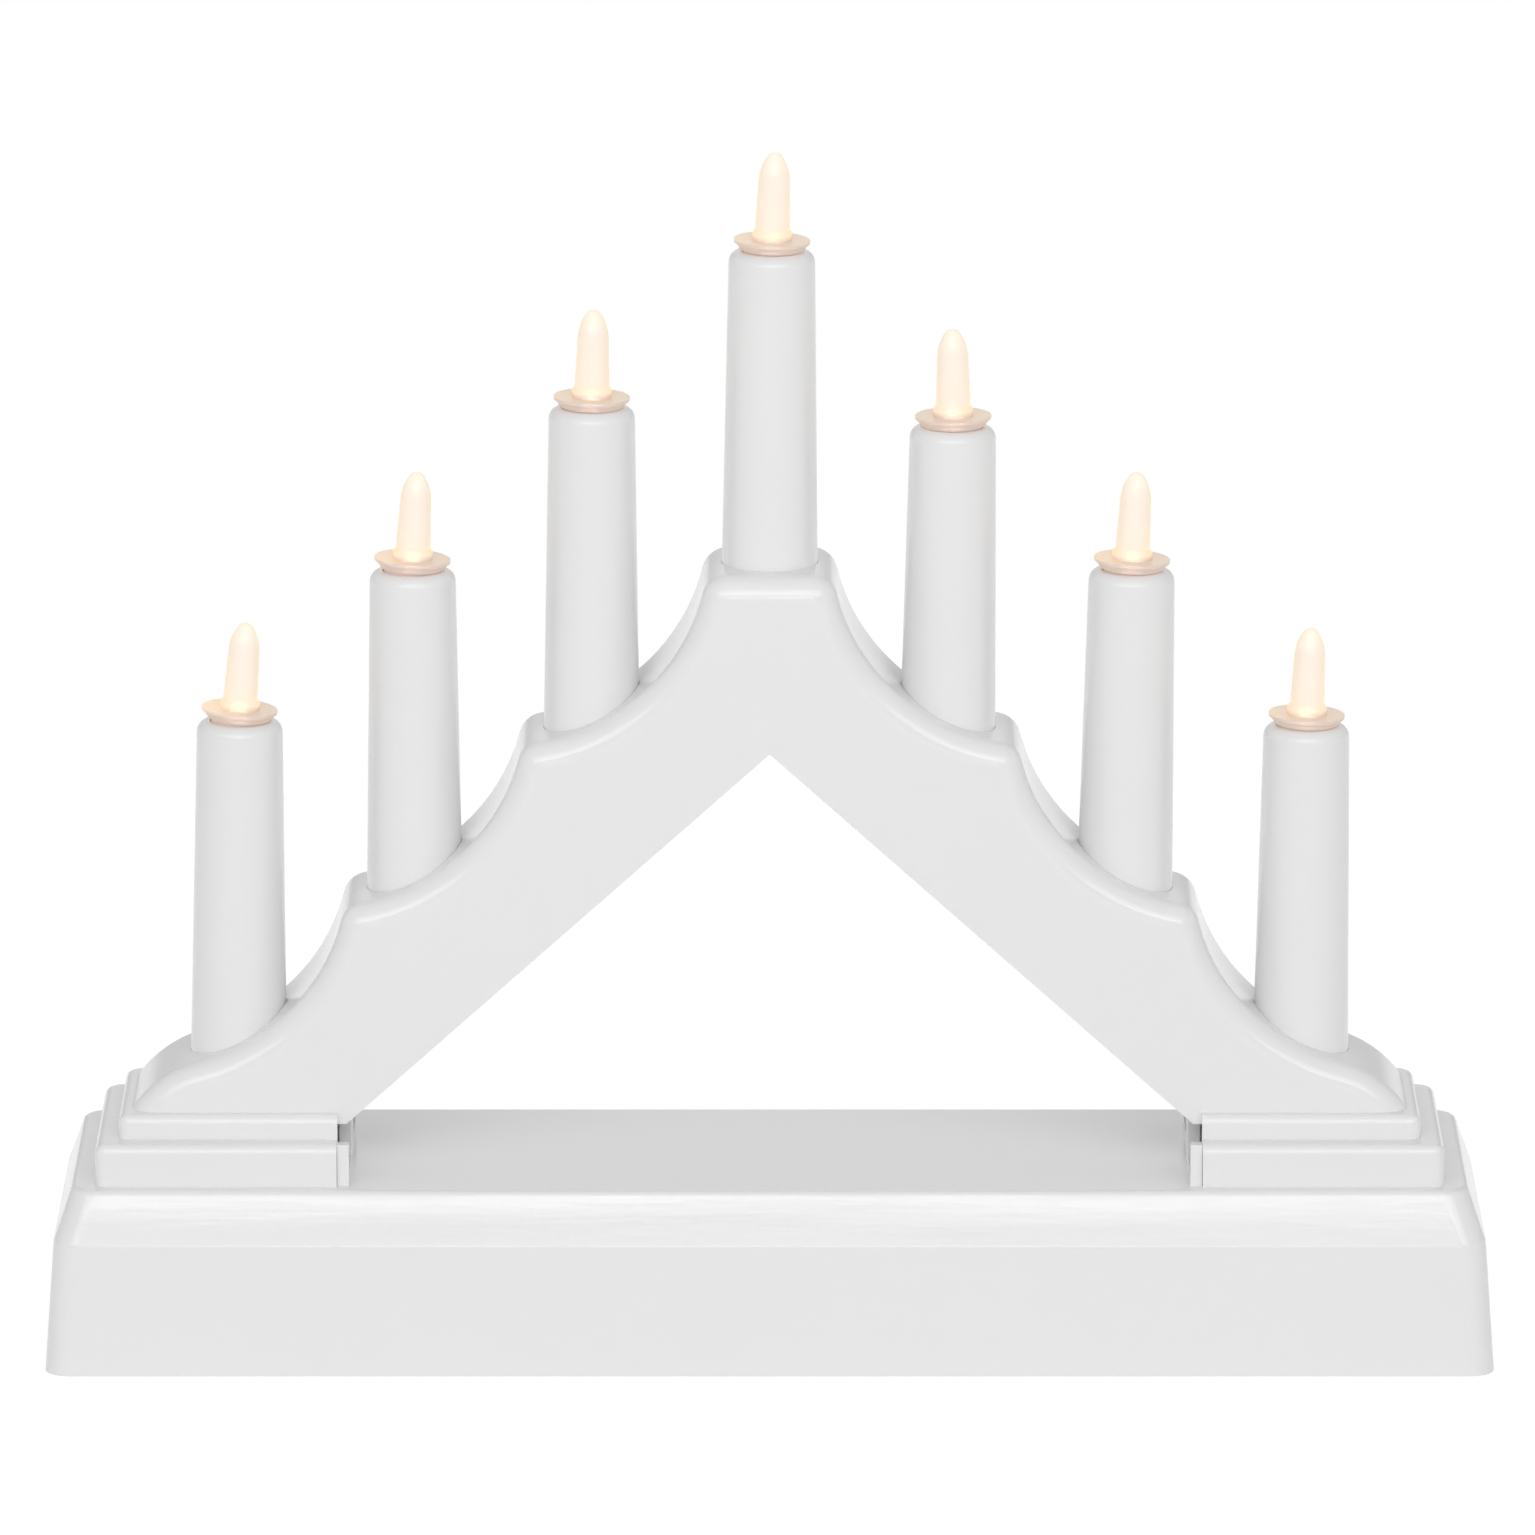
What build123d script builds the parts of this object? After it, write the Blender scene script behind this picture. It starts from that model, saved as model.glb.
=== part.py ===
from build123d import *
from math import hypot, radians, sin
import os

# Battery candle arch with seven light candles, in millimetres.
# Origin: centre of the base's underside. +X to the right, +Y to the rear, +Z up.

# General fits
overrun = 2.0
quarter_turn = 90.0
pick_distance = 0.1
slip_clearance = 0.15
swing_clearance = 0.35
pin_clearance = 0.08
screw_clearance = 0.1

# Base housing
base_width = 225.0
base_depth = 56.0
base_wall_height = 20.5
base_wall_inset = 1.45
shoulder_height = 8.1
shoulder_inset = 2.85
base_corner_radius = 4.0
base_cavity_radius = 1.2
base_top_radius = 1.0
base_shoulder_radius = 1.6
base_skin = 2.0
base_height = base_wall_height + shoulder_height
base_ceiling = base_height - base_skin

# Arch and plinths: the arch stands a little forward of the base's centre line
arch_centre = -2.9
arch_depth = 25.4
arch_skin = 2.0
arch_edge_radius = 3.6
crown_height = 124.0
crown_half_width = 9.9
candle_step = 25.75
cove_radius = 30.8
nose_reach = 10.8
nose_drop = 1.05
nose_radius = 4.2
end_reach = 5.7
end_drop = 0.35
foot_level = 38.0
apex_height = 96.3
gap_foot_level = 37.0
gap_overhang = 1.2
plinth_margin = 7.9
plinth_length = 37.5
lower_step_depth = 37.0
lower_step_height = 6.6
upper_step_inset = 3.5
upper_step_depth = 29.2
upper_step_height = 3.75
step_edge_radius = 1.4
step_front_corner_radius = 1.5
step_rear_corner_radius = 2.8
step_skin = 1.8
foot_inset = 1.4
end_candle_inset = 16.9
lower_step_top = base_height + lower_step_height
upper_step_top = lower_step_top + upper_step_height

# Cover that closes the arch from below, with a tab at each plinth's inner end: sill, two posts and a neck
cover_strip_thickness = 1.6
cover_strip_recess = 0.3
end_tab_thickness = 1.8
end_tab_gap = 0.06
end_tab_recess = 0.7
end_tab_post = 1.8
end_tab_sill = 1.6
cover_neck_half_width = 6.0

# Candle tubes: pushed up from below until they wedge, so each has its own seat depth and lean
candle_count = 7
tube_foot_diameter = 15.1
tube_top_diameter = 13.3
tube_length = 58.0
tube_bore = 10.4
tube_roof = 1.6
tube_edge_radius = 1.8
tube_seat_depths = (6.1, 7.9, 7.9, 9.0, 10.9, 7.8, 6.8)
tube_lean_degrees = (0.7, 0.0, 0.2, 0.4, 0.8, 0.9, 0.5)
socket_clearance = 0.05
socket_depth = 8.0
socket_skin = 1.2

# Flame caps
cap_tilt_degrees = (3.8, 3.4, 1.3, 1.7, -1.5, 2.0, 1.8)
cap_seat_clearance = 0.1
cap_seat_height = 0.6
cap_seat_diameter = 9.9
flange_diameter = 11.8
flange_thickness = 0.9
flange_lower_diameter = 10.8
plug_length = 4.0
plug_clearance = 0.4
tube_mouth = 9.4
flame_foot_diameter = 6.2
flame_collar_height = 0.9
flame_foot_height = 1.6
flame_diameter = 5.4
flame_top_diameter = 4.9
flame_height = 13.6
flame_straight = 7.9
flame_tip_radius = 1.3
flame_tip_height = 0.85

# Light-emitting diodes
led_diameter = 3.0
led_height = 5.4
led_rim_diameter = 3.8
led_rim_height = 1.0
led_rise = 0.7
led_leg = 0.5
led_leg_pitch = 2.54
led_leg_length = 9.0
led_clearance = 0.1

# Wire looms
loom_diameter = 2.4
branch_diameter = 1.6
loom_lift = 7.0
loom_level = 23.3
loom_rise_inset = 8.9
loom_bend = 4.0
wire_hole_diameter = 7.0
solder_gap = 0.15
sleeve_diameter = 4.0
sleeve_length = 5.0

# Bottom cover
cover_recess = 2.0
cover_thickness = 2.4
cover_clearance = 0.25
cover_top = cover_recess + cover_thickness
boss_diameter = 7.0
boss_inset_x = 13.5
boss_inset_y = 11.0

# Screws
screw_diameter = 2.5
screw_head_diameter = 4.8
screw_head_height = 1.4
screw_recess_width = 0.8
screw_arm_share = 0.25
screw_dome_share = 0.5
screw_recess_depth = 0.7
cover_screw_length = 9.0
arch_screw_length = 6.5
arch_screw_inset = 18.9
arch_screw_margin = 4.2
arch_boss_diameter = 5.6
screw_end_room = 0.6

# Cells and battery bay: two round cells side by side
cell_diameter = 14.5
cell_length = 50.5
cell_nub_diameter = 5.5
cell_nub_height = 1.0
cell_edge_radius = 0.6
cell_clearance = 0.3
contact_room = 3.4
bay_centre_x = -33.0
bay_skin = 1.4
bay_rib_width = 1.6
bay_rib_drop = 3.0

# Battery door, hinged on stub pins along its rear edge
door_thickness = 1.8
door_overlap = 1.0
door_barrel_radius = 1.1
door_pin_radius = 0.6
door_pin_length = 2.0
latch_width = 8.0
latch_thickness = 1.2
latch_height = 2.4
finger_notch_radius = 5.0

# Battery contacts
contact_thickness = 0.4
contact_width = 9.0
contact_height = 9.0
contact_leaf_height = 6.0
dimple_radius = 2.2
dimple_tip_share = 0.5
tail_width = 2.6
tail_reach = 2.2

# Circuit board and slide switch
board_length = 34.0
board_width = 22.0
board_thickness = 1.6
board_gap = 1.0
post_diameter = 4.6
post_pin_diameter = 2.0
post_pin_rise = 1.0
post_inset = 4.0
loom_pad_inset = 7.0
switch_length = 9.6
switch_width = 4.6
switch_height = 4.6
switch_skin = 0.8
switch_stand = 0.2
switch_travel = 2.2
slider_length = 3.0
slider_width = 1.8
carriage_length = 4.4
carriage_height = 1.6
slider_clearance = 0.2
slider_tip_level = 0.9
finger_pocket_length = 13.0
finger_pocket_width = 8.0
finger_pocket_depth = 0.8

# Places worked out from the sizes above
lower_step_half_width = base_width / 2 - plinth_margin
upper_step_half_width = lower_step_half_width - upper_step_inset
foot_half_width = upper_step_half_width - foot_inset
plinth_inner = lower_step_half_width - plinth_length
gap_half_width = plinth_inner - gap_overhang
loom_rise_x = plinth_inner + loom_rise_inset
arch_screw_x = plinth_inner + arch_screw_inset
last_rank = candle_count // 2
candle_pitch = (foot_half_width - end_candle_inset) / last_rank
candle_ranks = [i - last_rank for i in range(candle_count)]
arch_plane = Plane((0, arch_centre, 0), x_dir=(1, 0, 0), z_dir=(0, -1, 0))
gap_height = apex_height - gap_foot_level
slope_cosine = gap_half_width / hypot(gap_half_width, gap_height)
slope_rise = gap_height / gap_half_width
plug_diameter = tube_mouth - 2 * plug_clearance
bay_length = cell_length + 2 * contact_room
bay_width = 2 * cell_diameter + 3 * cell_clearance
cell_level = cover_recess + door_thickness + cell_clearance + cell_diameter / 2
bay_ceiling = cell_level + cell_diameter / 2 + cell_clearance
bay_right = bay_centre_x + bay_length / 2
bay_left = bay_centre_x - bay_length / 2
door_length = bay_length + 2 * door_overlap
door_width = bay_width + 2 * door_overlap
hinge_y = door_width / 2 - door_barrel_radius
hinge_level = cover_recess + door_barrel_radius
switch_floor = cover_top + switch_stand
board_level = switch_floor + switch_height
board_left = bay_right + bay_skin + board_gap
board_centre_x = board_left + board_length / 2
post_places = [
    (board_centre_x + side * (board_length / 2 - post_inset), row * (board_width / 2 - post_inset))
    for side in (-1, 1) for row in (-1, 1)
]
boss_x = base_width / 2 - boss_inset_x
boss_y = base_depth / 2 - boss_inset_y
boss_places = [(x * boss_x, y * boss_y) for x in (-1, 1) for y in (-1, 1)]
ceiling_half_depth = base_depth / 2 - base_wall_inset - shoulder_inset - base_skin
arch_screw_reach_y = ceiling_half_depth - arch_screw_margin + arch_centre
arch_screw_places = [
    (x * arch_screw_x, arch_centre + y * arch_screw_reach_y) for x in (-1, 1) for y in (-1, 1)
]


def block(low, high):
    """Box between two corner points."""
    size = [b - a for a, b in zip(low, high)]
    centre = [(a + b) / 2 for a, b in zip(low, high)]
    return Pos(*centre) * Box(*size)


def rod(x, y, low, high, diameter):
    """Upright round rod from one level to another."""
    return Pos(x, y, (low + high) / 2) * Cylinder(diameter / 2, high - low)


def frustum(lower, upper, radius):
    """Ruled solid between two rounded rectangles given as (width, depth, level)."""
    rims = []
    for width, depth, level in (lower, upper):
        rims.append((Pos(0, 0, level) * RectangleRounded(width, depth, radius)).face())
    return loft(rims, ruled=True)


def base_level(inset, level, skin=0):
    """Width, depth and level of the base's outline at one height, or of the cavity a skin inside it."""
    shrink = 2 * (inset + skin)
    return (base_width - shrink, base_depth - shrink, level)


def candle_x(rank):
    return rank * candle_pitch


def pedestal_level(rank):
    return crown_height - abs(rank) * candle_step


def gap_level(x):
    """Height of the arch's sloping underside."""
    return apex_height - slope_rise * abs(x)


# Base housing: drafted wall, sloping shoulder, open underneath, with screw bosses
def make_base_housing():
    rim = base_level(0, 0)
    waist = base_level(base_wall_inset, base_wall_height)
    top = base_level(base_wall_inset + shoulder_inset, base_height)
    body = frustum(rim, waist, base_corner_radius) + frustum(waist, top, base_corner_radius)
    rings = body.edges().group_by(Axis.Z)
    body = fillet(rings[2], base_shoulder_radius)
    body = fillet(body.edges().group_by(Axis.Z)[-1], base_top_radius)

    inner_rim = base_level(0, 0, base_skin)
    inner_waist = base_level(base_wall_inset, base_wall_height, base_skin)
    inner_top = base_level(base_wall_inset + shoulder_inset, base_ceiling, base_skin)
    mouth = Pos(0, 0, -overrun) * RectangleRounded(inner_rim[0], inner_rim[1], base_cavity_radius)
    body -= extrude(mouth, overrun)
    body -= frustum(inner_rim, inner_waist, base_cavity_radius)
    body -= frustum(inner_waist, inner_top, base_cavity_radius)

    pilot = screw_diameter + 2 * screw_clearance
    screw_end = cover_recess + cover_screw_length + screw_end_room
    for x, y in boss_places:
        body += rod(x, y, cover_top, base_ceiling, boss_diameter)
        body -= rod(x, y, cover_top - overrun, screw_end, pilot)
    for x, y in arch_screw_places:
        body -= rod(x, y, base_ceiling - overrun, base_height + overrun, pilot)
    for side in (-1, 1):
        hole_x = side * loom_rise_x
        body -= rod(hole_x, arch_centre, base_ceiling - overrun, base_height + overrun, wire_hole_diameter)
    return body


# Arch outline: coves between the pedestals, round noses, convex ends
def arch_outline(bottom):
    """Face under the scalloped top, closed by a straight line at the given level."""
    noses = [Vector(-crown_half_width, crown_height)]
    for rank in range(1, last_rank):
        noses.append(Vector(-candle_x(rank) - nose_reach, pedestal_level(rank) - nose_drop))
    end = Vector(-candle_x(last_rank) - end_reach, pedestal_level(last_rank) - end_drop)
    foot = Vector(-foot_half_width, foot_level)
    stops = noses + [end]
    coves = [RadiusArc(a, b, cove_radius) for a, b in zip(stops[:-1], stops[1:])]
    tail = TangentArc(end, foot, tangent=coves[-1] % 1)
    drop = [Line(foot, (foot.X, bottom))] if bottom < foot_level else []
    left = coves + [tail] + drop
    right = [edge.mirror(Plane.YZ) for edge in left]
    crown = Line(noses[0], (-noses[0].X, noses[0].Y))
    closing = Line((foot.X, bottom), (-foot.X, bottom))
    face = make_face(left + right + [crown, closing])
    spots = noses + [Vector(-n.X, n.Y) for n in noses]
    corners = [v for v in face.vertices() if min((Vector(v) - s).length for s in spots) < pick_distance]
    return fillet(corners, nose_radius)


def arch_body():
    """Solid arch with rounded outer edges and the sharp triangle cut out."""
    feet = [(side * gap_half_width, gap_foot_level) for side in (-1, 1)]
    slopes = Polyline(feet[0], (0, apex_height), feet[1], close=True)
    profile = arch_outline(gap_foot_level) - make_face(slopes)
    body = extrude(arch_plane * profile, arch_depth / 2, both=True)
    faces = body.faces().sort_by(Axis.Y)
    rims = faces[0].edges() + faces[-1].edges()
    rounded = rims.filter_by(GeomType.CIRCLE) + rims.filter_by(GeomType.LINE).group_by(Axis.Z)[-1]
    return fillet(rounded, arch_edge_radius)


def plinth_step(side, outer, depth, low, high):
    """One moulded step of a plinth, rounded outside and cut square at its inner end."""
    length = outer - plinth_inner
    centre_x = side * (outer + plinth_inner) / 2
    step = Pos(centre_x, arch_centre, (low + high) / 2) * Box(length, depth, high - low)
    for place, radius in ((0, step_front_corner_radius), (-1, step_rear_corner_radius)):
        outer_end = step.faces().sort_by(Axis.X)[-1 if side > 0 else 0]
        corner = outer_end.edges().filter_by(Axis.Z).sort_by(Axis.Y)[place]
        step = fillet(corner, radius)
    top_rim = step.faces().sort_by(Axis.Z)[-1].edges()
    inner_line = top_rim.sort_by(Axis.X)[0 if side > 0 else -1]
    return fillet([edge for edge in top_rim if edge != inner_line], step_edge_radius)


def step_cavity(side, outer, depth, low, high):
    """Hollow of a plinth step, open at its inner end."""
    near = plinth_inner - overrun
    far = outer - step_skin
    half = depth / 2 - step_skin
    xs = sorted((side * near, side * far))
    return block((xs[0], arch_centre - half, low), (xs[1], arch_centre + half, high - step_skin))


def tube_profile(i, grow=0):
    """Outer cone of a candle tube, at its own height and lean, or a clearance larger."""
    extra = overrun if grow else 0
    taper = (tube_foot_diameter - tube_top_diameter) / 2 / tube_length
    reach = tube_length + 2 * extra
    foot = tube_foot_diameter / 2 + grow + taper * extra
    middle = tube_length / 2 - tube_seat_depths[i]
    return tube_location(i) * Pos(0, 0, middle) * Cone(foot, foot - taper * reach, reach)


def tube_location(i):
    """Place of a candle's axis where it leaves the arch, with its lean."""
    rank = candle_ranks[i]
    place = (candle_x(rank), arch_centre, pedestal_level(rank))
    return Location(place, (0, tube_lean_degrees[i], 0))


def tube_stand(i):
    """Length of a tube that stands above its pedestal."""
    return tube_length - tube_seat_depths[i]


# Arch shell: one moulding with the plinth steps, hollow and open from below, with tube sockets
def make_arch_shell():
    outer = arch_body()
    shell = outer
    lower = (lower_step_half_width, lower_step_depth, base_height, lower_step_top)
    upper = (upper_step_half_width, upper_step_depth, lower_step_top, upper_step_top)
    for side in (-1, 1):
        shell += plinth_step(side, *lower)
        shell += plinth_step(side, *upper)

    hollow = offset(arch_outline(base_height - arch_skin - overrun), -arch_skin)
    shell -= extrude(arch_plane * hollow, arch_depth / 2 - arch_skin, both=True)
    for side in (-1, 1):
        shell -= step_cavity(side, lower[0], lower[1], base_height - overrun, lower[3])
        shell -= step_cavity(side, upper[0], upper[1], base_height, upper[3])

    collar = tube_foot_diameter + 2 * (socket_clearance + socket_skin)
    for rank in candle_ranks:
        level = pedestal_level(rank)
        sleeve = rod(candle_x(rank), arch_centre, level - socket_depth, level + collar, collar)
        shell += sleeve & outer
    for i in range(candle_count):
        shell -= tube_profile(i, socket_clearance)

    pilot = screw_diameter + 2 * screw_clearance
    screw_end = base_ceiling + arch_screw_length + screw_end_room
    for x, y in arch_screw_places:
        boss = rod(x, y, base_height, upper_step_top - step_skin, arch_boss_diameter)
        shell += boss & (step_block(x, lower) + step_block(x, upper))
        shell -= rod(x, y, base_height - overrun, screw_end, pilot)
    return shell


def step_block(x, step):
    """Plain block of a plinth step on the side where x lies."""
    outer, depth, low, high = step
    xs = sorted((outer if x > 0 else -outer, plinth_inner if x > 0 else -plinth_inner))
    return block((xs[0], arch_centre - depth / 2, low), (xs[1], arch_centre + depth / 2, high))


# Arch cover: strip under both slopes, with a tab that stands across each plinth's inner end
def make_arch_cover():
    half_width = arch_depth / 2 - arch_skin - slip_clearance
    tab_outer = plinth_inner - end_tab_gap
    tab_inner = tab_outer - end_tab_thickness
    low_line = cover_strip_recess / slope_cosine
    high_line = (cover_strip_recess + cover_strip_thickness) / slope_cosine
    outline = Polyline(
        (-tab_outer, gap_level(tab_outer) + low_line),
        (0, apex_height + low_line),
        (tab_outer, gap_level(tab_outer) + low_line),
        (tab_outer, gap_level(tab_outer) + high_line),
        (0, apex_height + high_line),
        (-tab_outer, gap_level(tab_outer) + high_line),
        close=True,
    )
    cover = extrude(arch_plane * make_face(outline), half_width, both=True)
    far = lower_step_depth / 2 - end_tab_recess
    near = far - end_tab_post
    neck = cover_neck_half_width
    neck_top = gap_level(tab_outer) + high_line
    sill_top = base_height + end_tab_sill
    sill_and_neck = [(-far, far, sill_top), (-neck, neck, neck_top)]
    posts = [(-far, -near, lower_step_top), (near, far, lower_step_top)]
    for side in (-1, 1):
        xs = sorted((side * tab_inner, side * tab_outer))
        for front, rear, top in sill_and_neck + posts:
            cover += block((xs[0], arch_centre + front, base_height), (xs[1], arch_centre + rear, top))
    return cover


# Candle tubes: tapered, round-shouldered, hollow from below, with a mouth for the flame cap
def make_candle_tube(i):
    tube = fillet(tube_profile(i).edges().sort_by(Axis.Z)[-1], tube_edge_radius)
    stand = tube_stand(i)
    foot = stand - tube_length
    bore = rod(0, 0, foot - overrun, stand - tube_roof, tube_bore)
    mouth = rod(0, 0, stand - tube_roof - overrun, stand + overrun, tube_mouth)
    return tube - tube_location(i) * (bore + mouth)


# Flame caps and their diodes share one axis; zero is the flange's upper face
def cap_location(i):
    """Place of a cap's flange top: tipped on the tube's mouth, one edge of its seat resting there."""
    tilt = cap_tilt_degrees[i]
    lift = cap_seat_diameter / 2 * sin(radians(abs(tilt))) + cap_seat_clearance
    rise = tube_stand(i) + lift + cap_seat_height + flange_thickness
    return tube_location(i) * Location((0, 0, rise), (0, tilt, 0))


def make_flame_cap(i):
    flame_radius = flame_diameter / 2
    foot_radius = flame_foot_diameter / 2
    seat_level = -flange_thickness - cap_seat_height
    plug_level = seat_level - plug_length
    point = (flame_tip_radius, flame_height - flame_tip_height)
    shoulder = (flame_top_diameter / 2, flame_straight)
    side = Spline(shoulder, point, (0, flame_height), tangents=((0, 1), (-1, 0)))
    rim_bore = led_rim_diameter / 2 + led_clearance
    led_bore = led_diameter / 2 + led_clearance
    rim_top = led_rise - led_height + led_rim_height + led_clearance
    dome_level = led_rise - led_diameter / 2
    dome = CenterArc((0, dome_level), led_bore, 0, quarter_turn)
    steps = Polyline(
        (led_bore, dome_level),
        (led_bore, rim_top),
        (rim_bore, rim_top),
        (rim_bore, plug_level),
        (plug_diameter / 2, plug_level),
        (plug_diameter / 2, seat_level),
        (cap_seat_diameter / 2, seat_level),
        (flange_lower_diameter / 2, -flange_thickness),
        (flange_diameter / 2, -flange_thickness / 2),
        (flange_diameter / 2, 0),
        (foot_radius, 0),
        (foot_radius, flame_collar_height),
        (flame_radius, flame_foot_height),
        shoulder,
    )
    axis_line = Line((0, flame_height), dome @ 1)
    cap = revolve(Plane.XZ * make_face([dome, *steps.edges(), side, axis_line]), Axis.Z)
    return cap_location(i) * cap


def make_led(i):
    dome = led_diameter / 2
    low = led_rise - led_height
    body = rod(0, 0, low, led_rise - dome, led_diameter)
    body += Pos(0, 0, led_rise - dome) * Sphere(dome)
    body += rod(0, 0, low, low + led_rim_height, led_rim_diameter)
    for side in (-1, 1):
        x = side * led_leg_pitch / 2
        half = led_leg / 2
        body += block((x - half, -half, low - led_leg_length), (x + half, half, low))
    return cap_location(i) * body


# Wire looms: one each side, from the circuit board up through the plinth and along the arch
def tube_along(points, diameter, radius):
    path = FilletPolyline(*points, radius=radius)
    return sweep(Plane(path @ 0, z_dir=path % 0) * Circle(diameter / 2), path)


def wire_top(i):
    """Point just under a diode's legs, on the candle's axis."""
    tip = led_rise - led_height - led_leg_length - solder_gap
    return (cap_location(i) * Pos(0, 0, tip)).position


def make_wire_loom(side, pad_x, lights):
    """lights runs from the outermost candle to the last one that this loom feeds."""
    rise_x = side * loom_rise_x
    run_level = gap_level(loom_rise_x) + loom_lift
    last_x = candle_x(candle_ranks[lights[-1]])
    last_top = wire_top(lights[-1])
    board_top = board_level + board_thickness
    corners = [
        (pad_x, arch_centre, board_top),
        (pad_x, arch_centre, loom_level),
        (rise_x, arch_centre, loom_level),
        (rise_x, arch_centre, run_level),
        (last_x, arch_centre, gap_level(last_x) + loom_lift),
        (last_x, arch_centre, last_top.Z),
    ]
    loom = tube_along(corners, loom_diameter, loom_bend)
    first = candle_x(candle_ranks[lights[0]])
    start = (rise_x, arch_centre, (base_height + run_level) / 2)
    turn = (first, arch_centre, (base_height + run_level) / 2)
    head = (first, arch_centre, wire_top(lights[0]).Z)
    loom += tube_along([start, turn, head], branch_diameter, loom_bend)
    for i in lights[1:-1]:
        x = candle_x(candle_ranks[i])
        loom += rod(x, arch_centre, gap_level(x) + loom_lift, wire_top(i).Z, branch_diameter)
    for i in lights:
        top = wire_top(i).Z
        loom += rod(candle_x(candle_ranks[i]), arch_centre, top - sleeve_length, top, sleeve_diameter)
    return loom


# Bottom cover: plate with the battery bay, board posts, switch slot and door hinge holes
def make_bottom_cover():
    mid_inset = base_wall_inset * cover_recess / base_wall_height
    width, depth, _ = base_level(mid_inset, 0, base_skin + cover_clearance)
    outline = RectangleRounded(width, depth, base_cavity_radius)
    plate = extrude(Pos(0, 0, cover_recess) * outline, cover_thickness)
    half = bay_width / 2
    tray = block(
        (bay_left - bay_skin, -half - bay_skin, cover_top),
        (bay_right + bay_skin, half + bay_skin, bay_ceiling + bay_skin),
    )
    cover = plate + tray
    cover -= block((bay_left, -half, cover_recess), (bay_right, half, bay_ceiling))
    cover += block(
        (bay_left, -bay_rib_width / 2, bay_ceiling - bay_rib_drop),
        (bay_right, bay_rib_width / 2, bay_ceiling),
    )
    opening = door_length / 2 + swing_clearance
    edge = door_width / 2 + swing_clearance
    cover -= block(
        (bay_centre_x - opening, -edge, cover_recess - overrun),
        (bay_centre_x + opening, edge, cover_top),
    )
    pin_reach = door_length / 2 + door_pin_length + swing_clearance
    hinge_axis = Pos(bay_centre_x, hinge_y, hinge_level) * Rot(0, quarter_turn, 0)
    cover -= hinge_axis * Cylinder(door_barrel_radius + swing_clearance, 2 * opening)
    cover -= hinge_axis * Cylinder(door_pin_radius + pin_clearance, 2 * pin_reach)
    notch_top = cover_recess + cover_thickness / 2
    cover -= rod(bay_centre_x, -edge, cover_recess - overrun, notch_top, 2 * finger_notch_radius)
    tail_low = board_level + board_thickness
    for row in (-1, 1):
        y = cell_y(row)
        slot = tail_width / 2 + slip_clearance
        cover -= block(
            (bay_right - overrun, y - slot, tail_low - slip_clearance),
            (bay_right + bay_skin + overrun, y + slot, tail_low + contact_thickness + slip_clearance),
        )
    for x, y in post_places:
        cover += rod(x, y, cover_top, board_level, post_diameter)
        cover += rod(x, y, board_level, board_level + board_thickness + post_pin_rise, post_pin_diameter)
    slot_x = (slider_length + switch_travel) / 2 + slider_clearance
    slot_y = slider_width / 2 + slider_clearance
    cover -= block(
        (board_centre_x - slot_x, -slot_y, cover_recess - overrun),
        (board_centre_x + slot_x, slot_y, cover_top + overrun),
    )
    pocket = SlotOverall(finger_pocket_length, finger_pocket_width)
    cover -= extrude(Pos(board_centre_x, 0, cover_recess - overrun) * pocket, overrun + finger_pocket_depth)
    for x, y in boss_places:
        cover -= rod(x, y, cover_recess - overrun, cover_top + overrun, screw_diameter + 2 * screw_clearance)
    return cover


# Battery door: plate with a hinge barrel, stub pins and a latch tab
def make_battery_door():
    half_length = door_length / 2
    top = cover_recess + door_thickness
    door = block(
        (bay_centre_x - half_length, -door_width / 2, cover_recess),
        (bay_centre_x + half_length, hinge_y, top),
    )
    hinge_axis = Pos(bay_centre_x, hinge_y, hinge_level) * Rot(0, quarter_turn, 0)
    door += hinge_axis * Cylinder(door_barrel_radius, door_length)
    door += hinge_axis * Cylinder(door_pin_radius, door_length + 2 * door_pin_length)
    wall = -bay_width / 2 + swing_clearance
    latch = block(
        (bay_centre_x - latch_width / 2, wall, top),
        (bay_centre_x + latch_width / 2, wall + latch_thickness, top + latch_height),
    )
    return door + latch


# Cells, lying along X with their nubs at opposite ends
def cell_y(row):
    return row * (cell_diameter + cell_clearance) / 2


def make_battery(row):
    can = Cylinder(cell_diameter / 2, cell_length - cell_nub_height)
    can = fillet(can.edges().filter_by(GeomType.CIRCLE), cell_edge_radius)
    nub_level = (cell_length - cell_nub_height) / 2
    cell = can + rod(0, 0, nub_level, nub_level + cell_nub_height, cell_nub_diameter)
    place = Pos(bay_centre_x + row * cell_nub_height / 2, cell_y(row), cell_level)
    return place * Rot(0, -row * quarter_turn, 0) * cell


def contact_plate(end, row):
    """Plate against an end wall of the bay, behind one cell."""
    y = cell_y(row)
    wall = bay_right if end > 0 else bay_left
    xs = sorted((wall, wall - end * contact_thickness))
    return block(
        (xs[0], y - contact_width / 2, cell_level - contact_height / 2),
        (xs[1], y + contact_width / 2, cell_level + contact_height / 2),
    )


def contact_leaf(end, row):
    """Sprung leaf bent from the plate's top towards the cell's flat end."""
    y = cell_y(row)
    wall = bay_right if end > 0 else bay_left
    top = cell_level + contact_height / 2
    reach = contact_room - cell_clearance
    back = wall - end * contact_thickness / 2
    bend = Polyline(
        (back, top - contact_thickness / 2),
        (wall - end * reach, cell_level),
        (back - end * contact_thickness, cell_level - contact_leaf_height / 2),
    )
    strip = trace(bend, contact_thickness)
    return extrude(Plane((0, y, 0), x_dir=(1, 0, 0), z_dir=(0, -1, 0)) * strip, contact_width / 2, both=True)


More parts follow.
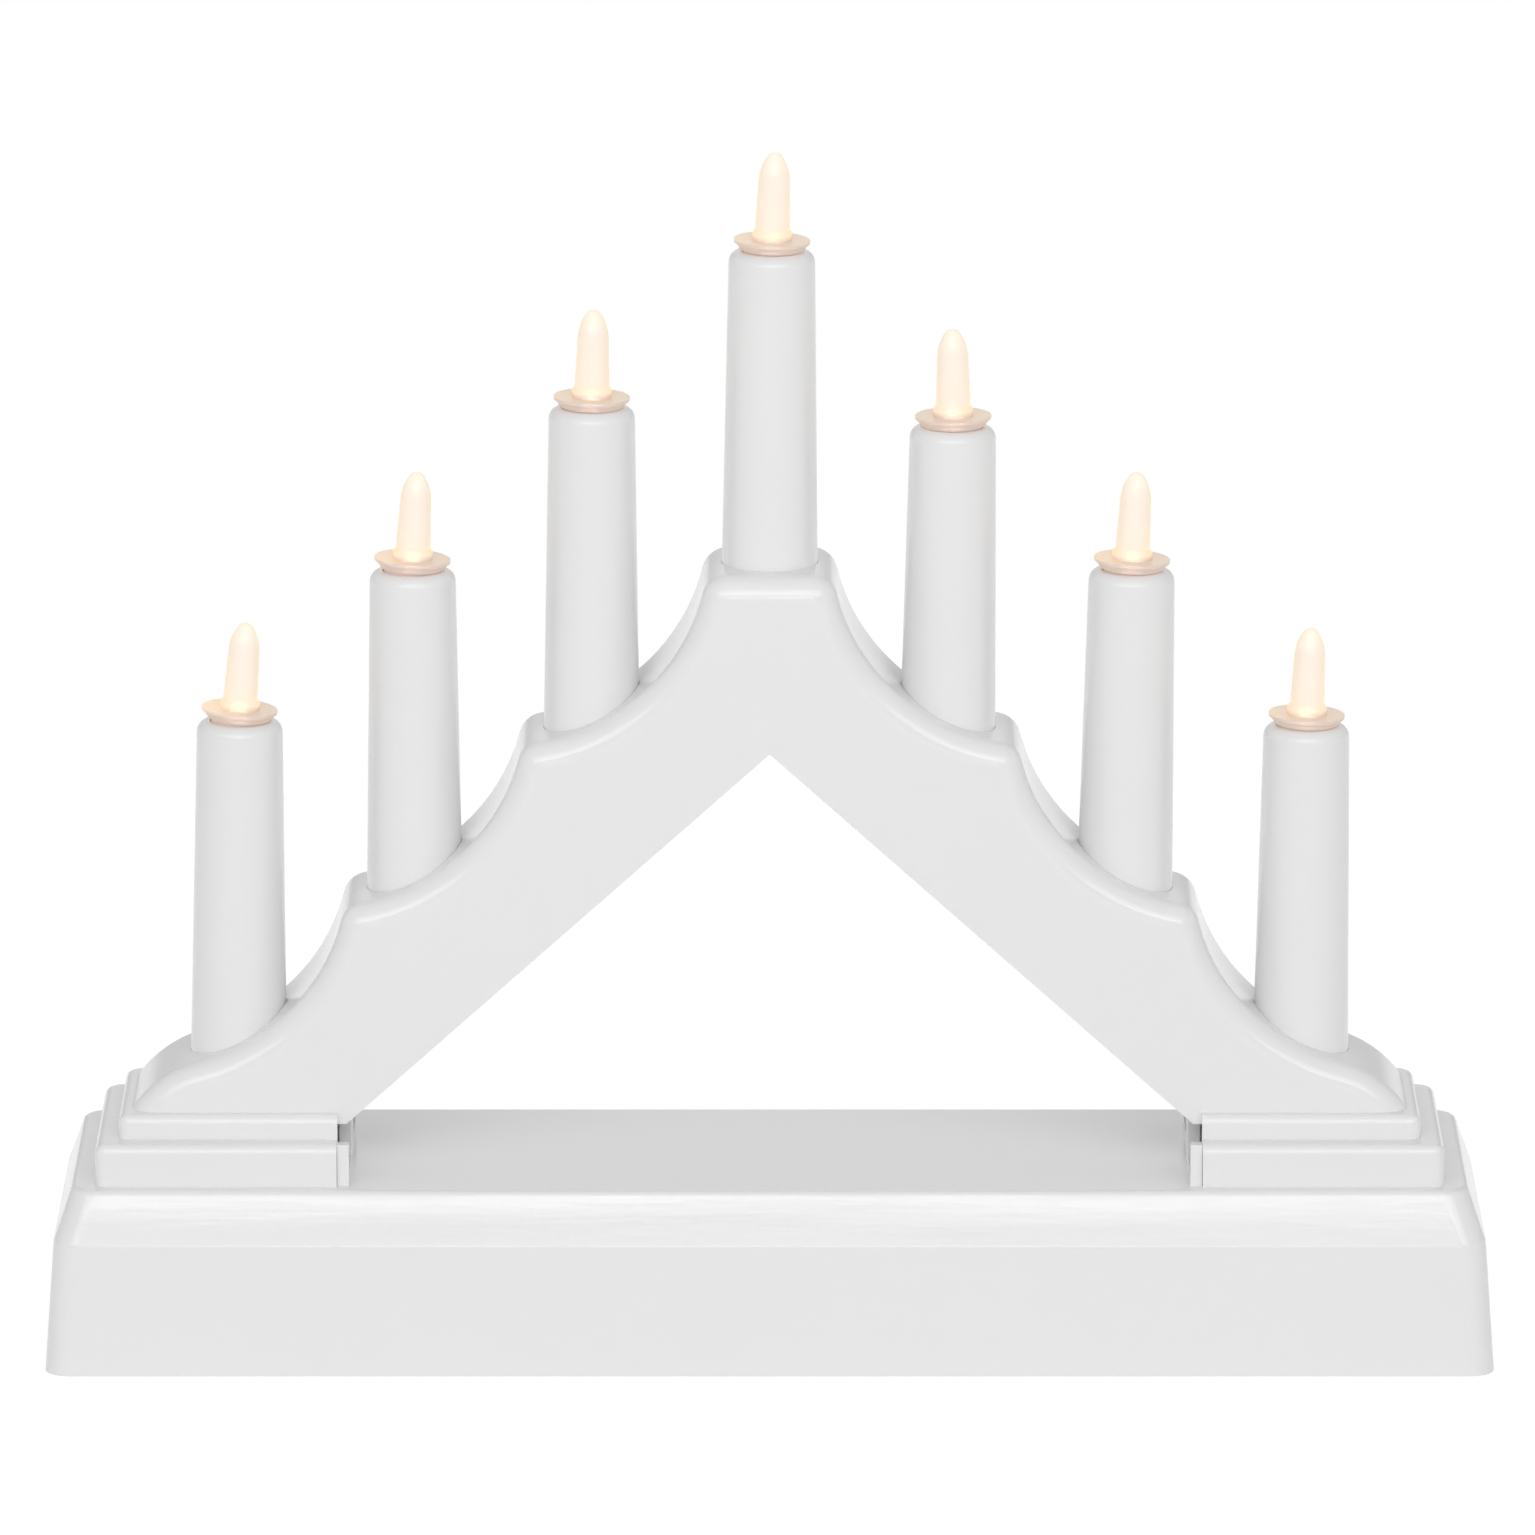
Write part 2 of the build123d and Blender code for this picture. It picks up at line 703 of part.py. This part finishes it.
def contact_dimple(end, row):
    """Round dimple that meets a cell's nub."""
    y = cell_y(row)
    wall = bay_right if end > 0 else bay_left
    reach = contact_room - cell_clearance
    height = reach - contact_thickness
    place = Pos(wall - end * (contact_thickness + height / 2), y, cell_level) * Rot(0, -end * quarter_turn, 0)
    return place * Cone(dimple_radius, dimple_radius * dimple_tip_share, height)


def contact_tail(row):
    """Tail that runs through the bay's wall onto the circuit board."""
    y = cell_y(row)
    level = board_level + board_thickness
    return block(
        (bay_right - contact_thickness, y - tail_width / 2, level),
        (board_left + tail_reach, y + tail_width / 2, level + contact_thickness),
    )


def make_bridge_contact():
    bridge = contact_plate(-1, -1) + contact_plate(-1, 1)
    span = cell_y(1)
    bridge += block(
        (bay_left, -span, cell_level - contact_height / 2),
        (bay_left + contact_thickness, span, cell_level),
    )
    return bridge + contact_leaf(-1, -1) + contact_dimple(-1, 1)


def make_positive_terminal():
    return contact_plate(1, -1) + contact_dimple(1, -1) + contact_tail(-1)


def make_negative_terminal():
    return contact_plate(1, 1) + contact_leaf(1, 1) + contact_tail(1)


# Circuit board on its posts, with the slide switch under it
def make_circuit_board():
    board = block(
        (board_left, -board_width / 2, board_level),
        (board_left + board_length, board_width / 2, board_level + board_thickness),
    )
    for x, y in post_places:
        hole = post_pin_diameter + 2 * slip_clearance
        board -= rod(x, y, board_level - overrun, board_level + board_thickness + overrun, hole)
    return board


def make_switch_body():
    half_x = switch_length / 2
    half_y = switch_width / 2
    body = block(
        (board_centre_x - half_x, -half_y, switch_floor),
        (board_centre_x + half_x, half_y, board_level),
    )
    room_x = (carriage_length + switch_travel) / 2 + slider_clearance
    room_y = half_y - switch_skin
    room_low = switch_floor + switch_skin
    body -= block(
        (board_centre_x - room_x, -room_y, room_low),
        (board_centre_x + room_x, room_y, room_low + carriage_height + 2 * slider_clearance),
    )
    slot_x = (slider_length + switch_travel) / 2 + slider_clearance
    slot_y = slider_width / 2 + slider_clearance
    body -= block(
        (board_centre_x - slot_x, -slot_y, switch_floor - overrun),
        (board_centre_x + slot_x, slot_y, room_low),
    )
    return body


def make_switch_slider():
    """Slider in its on position, at the left end of its travel."""
    x = board_centre_x - switch_travel / 2
    room_low = switch_floor + switch_skin
    carriage_y = switch_width / 2 - switch_skin - slider_clearance
    slider = block(
        (x - carriage_length / 2, -carriage_y, room_low + slider_clearance),
        (x + carriage_length / 2, carriage_y, room_low + slider_clearance + carriage_height),
    )
    stem = block(
        (x - slider_length / 2, -slider_width / 2, slider_tip_level),
        (x + slider_length / 2, slider_width / 2, room_low + slider_clearance),
    )
    return slider + stem


# Screws: pan heads with a cross recess
def make_screw(length):
    """Screw pointing up, its head's bearing face at zero."""
    head = Pos(0, 0, -screw_head_height / 2) * Cylinder(screw_head_diameter / 2, screw_head_height)
    head = fillet(head.edges().group_by(Axis.Z)[0], screw_head_height * screw_dome_share)
    screw = head + rod(0, 0, 0, length, screw_diameter)
    half = screw_recess_width / 2
    arm = screw_head_diameter * screw_arm_share
    for reach_x, reach_y in ((arm, half), (half, arm)):
        screw -= block(
            (-reach_x, -reach_y, -screw_head_height - overrun),
            (reach_x, reach_y, -screw_head_height + screw_recess_depth),
        )
    return screw


def screw_group(places, level, length):
    screw = make_screw(length)
    return Compound(children=[Pos(x, y, level) * screw for x, y in places])


def make_parts():
    parts = {
        "base_housing": make_base_housing(),
        "arch_shell": make_arch_shell(),
        "arch_cover": make_arch_cover(),
        "bottom_cover": make_bottom_cover(),
        "battery_door": make_battery_door(),
        "battery_1": make_battery(-1),
        "battery_2": make_battery(1),
        "bridge_contact": make_bridge_contact(),
        "positive_terminal": make_positive_terminal(),
        "negative_terminal": make_negative_terminal(),
        "circuit_board": make_circuit_board(),
        "switch_body": make_switch_body(),
        "switch_slider": make_switch_slider(),
        "cover_screws": screw_group(boss_places, cover_recess, cover_screw_length),
        "arch_screws": screw_group(arch_screw_places, base_ceiling, arch_screw_length),
        "wire_loom_left": make_wire_loom(-1, board_left + loom_pad_inset, (0, 1, 2, 3)),
        "wire_loom_right": make_wire_loom(1, board_left + board_length - loom_pad_inset, (6, 5, 4)),
    }
    for i in range(candle_count):
        number = i + 1
        parts[f"candle_tube_{number}"] = make_candle_tube(i)
        parts[f"flame_cap_{number}"] = make_flame_cap(i)
        parts[f"led_{number}"] = make_led(i)
    return parts


def main():
    os.makedirs("parts", exist_ok=True)
    for name, part in make_parts().items():
        export_step(part, f"parts/{name}.step")


main()
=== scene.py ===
import math

import bpy
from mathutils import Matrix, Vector


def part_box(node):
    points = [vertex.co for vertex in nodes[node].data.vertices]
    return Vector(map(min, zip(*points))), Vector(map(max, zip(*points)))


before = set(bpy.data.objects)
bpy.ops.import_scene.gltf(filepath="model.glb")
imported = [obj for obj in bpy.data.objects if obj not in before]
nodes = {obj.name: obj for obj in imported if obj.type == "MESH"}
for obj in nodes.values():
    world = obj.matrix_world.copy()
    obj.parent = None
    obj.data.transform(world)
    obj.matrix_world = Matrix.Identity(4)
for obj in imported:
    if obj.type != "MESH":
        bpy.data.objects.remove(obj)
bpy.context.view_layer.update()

# Lengths are in metres unless a name says otherwise. Noise scales are repeats per metre.
LIGHT_COUNT = 7

# Camera, fitted to the photo: a long lens, a little above the object, level and square on
CAMERA_LENS_MM = 305.0
CAMERA_SENSOR_MM = 36.0
CAMERA_PLACE = (-0.000341, -1.95958, 0.58615)
CAMERA_PITCH_DEG = 14.2
CAMERA_CLIP_END = 50.0

# Lamps in front of the object: name, place, width and height, power in watts.
# The key lights the fronts, the strip makes the band on the shoulder, and the glint the fine lines on edges.
LAMP_TARGET = (0.0, 0.0, 0.09)
LAMPS = (
    ("key", (0.0, -2.29, 1.70), (4.2, 1.3), 32.2),
    ("strip", (0.0, -2.75, 1.68), (2.6, 0.16), 5.5),
    ("glint", (0.0, -2.95, 0.64), (0.6, 0.2), 2.5),
)

# Floor: a bounce grey for the light it gives back, and a shadow grey and a white that the picture shows
FLOOR_HALF_SIZE = 6.0
FLOOR_RIM_COVER = 0.0012
FLOOR_GAP = 0.00005
FLOOR_BOUNCE = (0.80, 0.80, 0.80, 1.0)
FLOOR_SHADOW = (0.24, 0.24, 0.24, 1.0)
FLOOR_WHITE_STRENGTH = 0.86

# World: the fill light by steepness, 0 level and 1 upright, and the backdrop's darker sides in reflections
FILL_STOPS = (
    (0.0, (1.20, 1.20, 1.20)),
    (0.35, (0.62, 0.62, 0.62)),
    (0.8, (0.40, 0.40, 0.40)),
)
BACKDROP_FADE_START = 0.06
BACKDROP_FADE_END = 0.30
BACKDROP_SIDE_LEVEL = 0.55

# White plastic
WHITE_LOW = (0.805, 0.805, 0.805)
WHITE_HIGH = (0.825, 0.825, 0.825)
CLOUD_SCALE = 38.0
GLOSS_SCALE = 160.0
SINK_SCALE = 22.0
SINK_DEPTH = 0.002
GRAIN_SCALE = 900.0
GRAIN_DEPTH = 0.0002
GRAIN_STRENGTH = 0.05
SHEEN_ROUGHNESS = 0.4

# Shading of the base's sloping shoulder, reaching down from the base's top
CROWN_REACH = 0.0050
CROWN_DEPTH = 0.00027
MARKS_REACH = 0.0085
WAVE_SCALES = (12.0, 12.0, 120.0)
WAVE_DEPTH = 0.0003
MARK_SCALES = (60.0, 60.0, 700.0)
MARK_DEPTH = 0.00005

# Flame caps: stops are shares of the cap's height, with the flange below about 0.3
FLAME_COLOURS = (
    (0.28, (0.64, 0.57, 0.60)),
    (0.36, (0.62, 0.58, 0.62)),
)
# Painted glow of the caps by height, standing in for the diode's light spreading through them: warm near the
# diode, paler to the tip, dim in the flange
PAINTED_FLAME_GLOW = (
    (0.295, (0.25, 0.20, 0.22)),
    (0.34, (0.82, 0.58, 0.36)),
    (0.42, (0.58, 0.51, 0.43)),
    (0.80, (0.54, 0.49, 0.45)),
    (1.0, (0.66, 0.64, 0.56)),
)
# Emission Strength below sets how bright the caps' painted glow is
FLAME_SURFACE = {
    "Emission Strength": 0.7,
    "Transmission Weight": 0.12,
    "IOR": 1.45,
    "Coat Weight": 1.0,
    "Coat IOR": 1.1,
    "Coat Roughness": 0.3,
    "Coat Tint": (1.0, 0.97, 0.87, 1.0),
    "Sheen Weight": 0.25,
    "Sheen Roughness": SHEEN_ROUGHNESS,
    "Sheen Tint": (1.0, 0.94, 0.80, 1.0),
}
FLAME_GLOSS_SCALE = 420.0
FLAME_ROUGHNESS = (0.26, 0.32)
FLAME_WAVE_SCALE = 90.0
FLAME_WAVE_DEPTH = 0.0003
FLAME_WAVE_STRENGTH = 0.03

# Diodes: only the domed end glows
DIODE_LOW = (1.0, 0.90, 0.66)
DIODE_HIGH = (1.0, 0.94, 0.78)
DIODE_GRAIN_SCALE = 300.0
DIODE_GLOW = (
    (0.86, (0.0, 0.0, 0.0)),
    (0.93, (1.0, 0.93, 0.80)),
)
DIODE_SURFACE = {"Emission Strength": 24.0, "Roughness": 0.2}

# Metal and matte plastic
METAL_GRAIN_SCALE = 700.0
METAL_GRAIN_DEPTH = 0.0002
METAL_GRAIN_STRENGTH = 0.05
METAL_ROUGHNESS_SPREAD = 0.15
MATTE_GRAIN_DEPTH = 0.0003
MATTE_GRAIN_STRENGTH = 0.06
MATTE_ROUGHNESS_SPREAD = 0.12


def make_camera():
    data = bpy.data.cameras.new("camera")
    data.lens = CAMERA_LENS_MM
    data.sensor_width = CAMERA_SENSOR_MM
    data.clip_end = CAMERA_CLIP_END
    camera = bpy.data.objects.new("camera", data)
    camera.location = CAMERA_PLACE
    camera.rotation_euler = (math.radians(90.0 - CAMERA_PITCH_DEG), 0.0, 0.0)
    bpy.context.scene.collection.objects.link(camera)
    bpy.context.scene.camera = camera


# Node helpers
def new_material(name):
    material = bpy.data.materials.new(name)
    material.use_nodes = True
    tree = material.node_tree
    return material, tree, tree.nodes["Principled BSDF"]


def add_node(tree, kind, **settings):
    node = tree.nodes.new(kind)
    for key, value in settings.items():
        setattr(node, key, value)
    return node


def set_inputs(node, values):
    for name, value in values.items():
        node.inputs[name].default_value = value


def object_coords(tree):
    return add_node(tree, "ShaderNodeTexCoord").outputs["Object"]


def generated_coords(tree):
    return add_node(tree, "ShaderNodeTexCoord").outputs["Generated"]


def stretched(tree, coords, scales):
    """Coordinates scaled by a different factor on each axis."""
    node = add_node(tree, "ShaderNodeMapping")
    node.inputs["Scale"].default_value = scales
    tree.links.new(coords, node.inputs["Vector"])
    return node.outputs["Vector"]


def split_axes(tree, coords):
    """Outputs X, Y and Z of a vector."""
    node = add_node(tree, "ShaderNodeSeparateXYZ")
    tree.links.new(coords, node.inputs["Vector"])
    return node.outputs


def noise(tree, coords, scale, detail):
    node = add_node(tree, "ShaderNodeTexNoise")
    set_inputs(node, {"Scale": scale, "Detail": detail})
    tree.links.new(coords, node.inputs["Vector"])
    return node.outputs["Fac"]


def calculate(tree, operation, *values):
    """Math node on values that are sockets or plain numbers."""
    node = add_node(tree, "ShaderNodeMath", operation=operation)
    for socket, value in zip(node.inputs, values):
        if isinstance(value, float):
            socket.default_value = value
        else:
            tree.links.new(value, socket)
    return node.outputs["Value"]


def span(tree, value, low, high, start=0.0, end=1.0, curve="LINEAR"):
    """Maps a value from start to end onto low to high."""
    node = add_node(tree, "ShaderNodeMapRange", interpolation_type=curve)
    set_inputs(node, {"From Min": start, "From Max": end, "To Min": low, "To Max": high})
    tree.links.new(value, node.inputs["Value"])
    return node.outputs["Result"]


def ramp(tree, value, stops):
    """Colour ramp through stops of a position and a colour, in rising order."""
    node = add_node(tree, "ShaderNodeValToRGB")
    elements = node.color_ramp.elements
    for element, (position, colour) in zip(elements, (stops[0], stops[-1])):
        element.position = position
        element.color = (*colour, 1.0)
    for position, colour in stops[1:-1]:
        elements.new(position).color = (*colour, 1.0)
    tree.links.new(value, node.inputs["Fac"])
    return node.outputs["Color"]


def tint(tree, value, low, high):
    """Colour between low and high for a value from 0 to 1."""
    return ramp(tree, value, ((0.0, low), (1.0, high)))


def bump(tree, shader, height, strength, depth, below=None, fade=None):
    """Bump layer on top of the layer below. Its strength is a number, or follows fade where that is given."""
    node = add_node(tree, "ShaderNodeBump")
    set_inputs(node, {"Strength": strength, "Distance": depth})
    tree.links.new(height, node.inputs["Height"])
    if below is not None:
        tree.links.new(below, node.inputs["Normal"])
    if fade is not None:
        tree.links.new(fade, node.inputs["Strength"])
    tree.links.new(node.outputs["Normal"], shader.inputs["Normal"])
    return node.outputs["Normal"]


def mix_shaders(tree, share, first, second):
    """First shader where share is 0, second where it is 1."""
    node = add_node(tree, "ShaderNodeMixShader")
    tree.links.new(share, node.inputs["Fac"])
    tree.links.new(first, node.inputs[1])
    tree.links.new(second, node.inputs[2])
    return node.outputs["Shader"]


# Materials
def white_moulding(name, rough, sink, sheen):
    """Glossy white moulded plastic with slight cloudiness, uneven gloss, sink marks and a fine grain."""
    material, tree, shader = new_material(name)
    coords = object_coords(tree)
    cloud = noise(tree, coords, CLOUD_SCALE, detail=3.0)
    tree.links.new(tint(tree, cloud, WHITE_LOW, WHITE_HIGH), shader.inputs["Base Color"])
    gloss = noise(tree, coords, GLOSS_SCALE, detail=4.0)
    tree.links.new(span(tree, gloss, *rough), shader.inputs["Roughness"])
    set_inputs(shader, {"Sheen Weight": sheen, "Sheen Roughness": SHEEN_ROUGHNESS})
    sunk = bump(tree, shader, noise(tree, coords, SINK_SCALE, detail=1.0), sink, SINK_DEPTH)
    grain = noise(tree, coords, GRAIN_SCALE, detail=2.0)
    bump(tree, shader, grain, GRAIN_STRENGTH, GRAIN_DEPTH, sunk)
    return material


def base_moulding(name, rough, sink, sheen):
    """White moulding whose sloping shoulder is shaded as slightly crowned, with level flow marks."""
    material = white_moulding(name, rough, sink, sheen)
    tree = material.node_tree
    shader = tree.nodes["Principled BSDF"]
    plain = shader.inputs["Normal"].links[0].from_socket
    coords = object_coords(tree)
    height = split_axes(tree, coords)["Z"]
    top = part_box("base_housing")[1][2]

    rise = span(tree, height, 0.0, 1.0, top - CROWN_REACH, top)
    crown = calculate(tree, "SUBTRACT", 1.0, calculate(tree, "MULTIPLY", rise, rise))
    crowned = bump(tree, shader, crown, 1.0, CROWN_DEPTH, plain)

    fade = span(tree, height, 0.0, 1.0, top - MARKS_REACH, top - CROWN_REACH)
    waves = noise(tree, stretched(tree, coords, WAVE_SCALES), 1.0, detail=1.0)
    wavy = bump(tree, shader, waves, 1.0, WAVE_DEPTH, crowned, fade)
    marks = noise(tree, stretched(tree, coords, MARK_SCALES), 1.0, detail=2.0)
    bump(tree, shader, marks, 1.0, MARK_DEPTH, wavy, fade)
    return material


def metal(name, low, high, rough):
    material, tree, shader = new_material(name)
    shader.inputs["Metallic"].default_value = 1.0
    grain = noise(tree, object_coords(tree), METAL_GRAIN_SCALE, detail=3.0)
    tree.links.new(tint(tree, grain, low, high), shader.inputs["Base Color"])
    roughness = span(tree, grain, rough, rough + METAL_ROUGHNESS_SPREAD)
    tree.links.new(roughness, shader.inputs["Roughness"])
    bump(tree, shader, grain, METAL_GRAIN_STRENGTH, METAL_GRAIN_DEPTH)
    return material


def matte(name, low, high, rough, scale):
    material, tree, shader = new_material(name)
    grain = noise(tree, object_coords(tree), scale, detail=3.0)
    tree.links.new(tint(tree, grain, low, high), shader.inputs["Base Color"])
    roughness = span(tree, grain, rough, rough + MATTE_ROUGHNESS_SPREAD)
    tree.links.new(roughness, shader.inputs["Roughness"])
    bump(tree, shader, grain, MATTE_GRAIN_STRENGTH, MATTE_GRAIN_DEPTH)
    return material


def flame_material():
    """Milky cap with a painted glow standing in for the diode's light inside it: warmest at the diode, paler
    to the tip and dim in the flange.
    """
    material, tree, shader = new_material("flame_plastic")
    height = split_axes(tree, generated_coords(tree))["Z"]
    tree.links.new(ramp(tree, height, FLAME_COLOURS), shader.inputs["Base Color"])
    # Painted glow: emission that stands in for the diode's light inside the cap
    tree.links.new(ramp(tree, height, PAINTED_FLAME_GLOW), shader.inputs["Emission Color"])
    set_inputs(shader, FLAME_SURFACE)
    coords = object_coords(tree)
    gloss = noise(tree, coords, FLAME_GLOSS_SCALE, detail=2.0)
    tree.links.new(span(tree, gloss, *FLAME_ROUGHNESS), shader.inputs["Roughness"])
    waves = noise(tree, coords, FLAME_WAVE_SCALE, detail=1.0)
    bump(tree, shader, waves, FLAME_WAVE_STRENGTH, FLAME_WAVE_DEPTH)
    return material


def diode_material():
    material, tree, shader = new_material("warm_diode")
    grain = noise(tree, object_coords(tree), DIODE_GRAIN_SCALE, detail=2.0)
    tree.links.new(tint(tree, grain, DIODE_LOW, DIODE_HIGH), shader.inputs["Base Color"])
    height = split_axes(tree, generated_coords(tree))["Z"]
    tree.links.new(ramp(tree, height, DIODE_GLOW), shader.inputs["Emission Color"])
    set_inputs(shader, DIODE_SURFACE)
    return material


def dress(names, material):
    for name in names:
        slots = nodes[name].data.materials
        slots.clear()
        slots.append(material)


def numbered(stem):
    return [f"{stem}_{i + 1}" for i in range(LIGHT_COUNT)]


def dress_nodes():
    housing = white_moulding("white_housing", rough=(0.12, 0.18), sink=0.06, sheen=0.0)
    tubes = white_moulding("white_tube", rough=(0.16, 0.24), sink=0.05, sheen=0.4)
    base = base_moulding("white_base", rough=(0.12, 0.18), sink=0.06, sheen=0.0)
    steel = metal("plated_steel", (0.62, 0.62, 0.60), (0.74, 0.74, 0.72), rough=0.25)
    jacket = matte("cell_jacket", (0.10, 0.11, 0.13), (0.14, 0.15, 0.17), rough=0.30, scale=60.0)
    laminate = matte("board_laminate", (0.05, 0.22, 0.10), (0.08, 0.28, 0.13), rough=0.35, scale=240.0)
    black = matte("black_plastic", (0.02, 0.02, 0.02), (0.04, 0.04, 0.04), rough=0.45, scale=400.0)
    sleeve = matte("wire_sleeve", (0.70, 0.69, 0.66), (0.78, 0.77, 0.74), rough=0.40, scale=300.0)

    dress(["base_housing"], base)
    dress(["arch_shell", "arch_cover", "bottom_cover", "battery_door"], housing)
    dress(numbered("candle_tube"), tubes)
    dress(numbered("flame_cap"), flame_material())
    dress(numbered("led"), diode_material())
    dress(["bridge_contact", "positive_terminal", "negative_terminal"], steel)
    dress(["cover_screws", "arch_screws"], steel)
    dress(["battery_1", "battery_2"], jacket)
    dress(["circuit_board"], laminate)
    dress(["switch_body", "switch_slider"], black)
    dress(["wire_loom_left", "wire_loom_right"], sleeve)


# Stage
def camera_share(tree):
    """1 where a ray comes from the camera, a reflection or a transmission, else 0."""
    path = add_node(tree, "ShaderNodeLightPath")
    share = path.outputs["Is Camera Ray"]
    for kind in ("Is Glossy Ray", "Is Transmission Ray"):
        share = calculate(tree, "MAXIMUM", share, path.outputs[kind])
    return share


def floor_material():
    """Grey for the light it gives back, but seen as white with a soft shadow, and see-through from below."""
    material = bpy.data.materials.new("floor")
    material.use_nodes = True
    tree = material.node_tree
    tree.nodes.clear()
    out = add_node(tree, "ShaderNodeOutputMaterial")
    bounce = add_node(tree, "ShaderNodeBsdfDiffuse")
    bounce.inputs["Color"].default_value = FLOOR_BOUNCE
    shadow = add_node(tree, "ShaderNodeBsdfDiffuse")
    shadow.inputs["Color"].default_value = FLOOR_SHADOW
    white = add_node(tree, "ShaderNodeEmission")
    white.inputs["Strength"].default_value = FLOOR_WHITE_STRENGTH
    seen = add_node(tree, "ShaderNodeAddShader")
    tree.links.new(shadow.outputs["BSDF"], seen.inputs[0])
    tree.links.new(white.outputs["Emission"], seen.inputs[1])
    underside = add_node(tree, "ShaderNodeNewGeometry").outputs["Backfacing"]
    clear = add_node(tree, "ShaderNodeBsdfTransparent")
    one_sided = mix_shaders(tree, underside, seen.outputs["Shader"], clear.outputs["BSDF"])
    blend = mix_shaders(tree, camera_share(tree), bounce.outputs["BSDF"], one_sided)
    tree.links.new(blend, out.inputs["Surface"])
    return material


def make_floor():
    """Floor with a hole under the base, so that views from below show a lit underside."""
    low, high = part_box("base_housing")
    left = low[0] + FLOOR_RIM_COVER
    front = low[1] + FLOOR_RIM_COVER
    right = high[0] - FLOOR_RIM_COVER
    rear = high[1] - FLOOR_RIM_COVER
    size = FLOOR_HALF_SIZE
    corners = [(-size, -size), (size, -size), (size, size), (-size, size)]
    corners += [(left, front), (right, front), (right, rear), (left, rear)]
    sides = [(i, (i + 1) % 4, (i + 1) % 4 + 4, i + 4) for i in range(4)]
    mesh = bpy.data.meshes.new("floor")
    mesh.from_pydata([(x, y, -FLOOR_GAP) for x, y in corners], [], sides)
    mesh.materials.append(floor_material())
    floor = bpy.data.objects.new("floor", mesh)
    bpy.context.scene.collection.objects.link(floor)


def make_world():
    """Soft fill light, with a white backdrop for the camera whose reflection is darker at the sides."""
    world = bpy.data.worlds.new("world")
    world.use_nodes = True
    tree = world.node_tree
    tree.nodes.clear()
    out = add_node(tree, "ShaderNodeOutputWorld")
    direction = split_axes(tree, generated_coords(tree))

    fill = add_node(tree, "ShaderNodeBackground")
    steepness = calculate(tree, "ABSOLUTE", direction["Z"])
    tree.links.new(ramp(tree, steepness, FILL_STOPS), fill.inputs["Color"])

    sideways = calculate(tree, "ABSOLUTE", direction["X"])
    mirrored = span(
        tree, sideways, 1.0, BACKDROP_SIDE_LEVEL, BACKDROP_FADE_START, BACKDROP_FADE_END, curve="SMOOTHSTEP")
    level = add_node(tree, "ShaderNodeMix", data_type="FLOAT")
    level.inputs["A"].default_value = 1.0
    tree.links.new(mirrored, level.inputs["B"])
    glossy = add_node(tree, "ShaderNodeLightPath").outputs["Is Glossy Ray"]
    tree.links.new(glossy, level.inputs["Factor"])
    white = add_node(tree, "ShaderNodeBackground")
    white.inputs["Strength"].default_value = 1.0
    tree.links.new(level.outputs["Result"], white.inputs["Color"])

    blend = mix_shaders(tree, camera_share(tree), fill.outputs["Background"], white.outputs["Background"])
    tree.links.new(blend, out.inputs["Surface"])
    bpy.context.scene.world = world


def area_light(name, place, size, power):
    data = bpy.data.lights.new(name, "AREA")
    data.shape = "RECTANGLE"
    data.size, data.size_y = size
    data.energy = power
    light = bpy.data.objects.new(name, data)
    light.location = place
    light.rotation_euler = (Vector(LAMP_TARGET) - Vector(place)).to_track_quat("-Z", "Y").to_euler()
    bpy.context.scene.collection.objects.link(light)


def make_lights():
    for name, place, size, power in LAMPS:
        area_light(name, place, size, power)


make_camera()
dress_nodes()
make_floor()
make_world()
make_lights()
bpy.context.scene.view_settings.view_transform = "Standard"
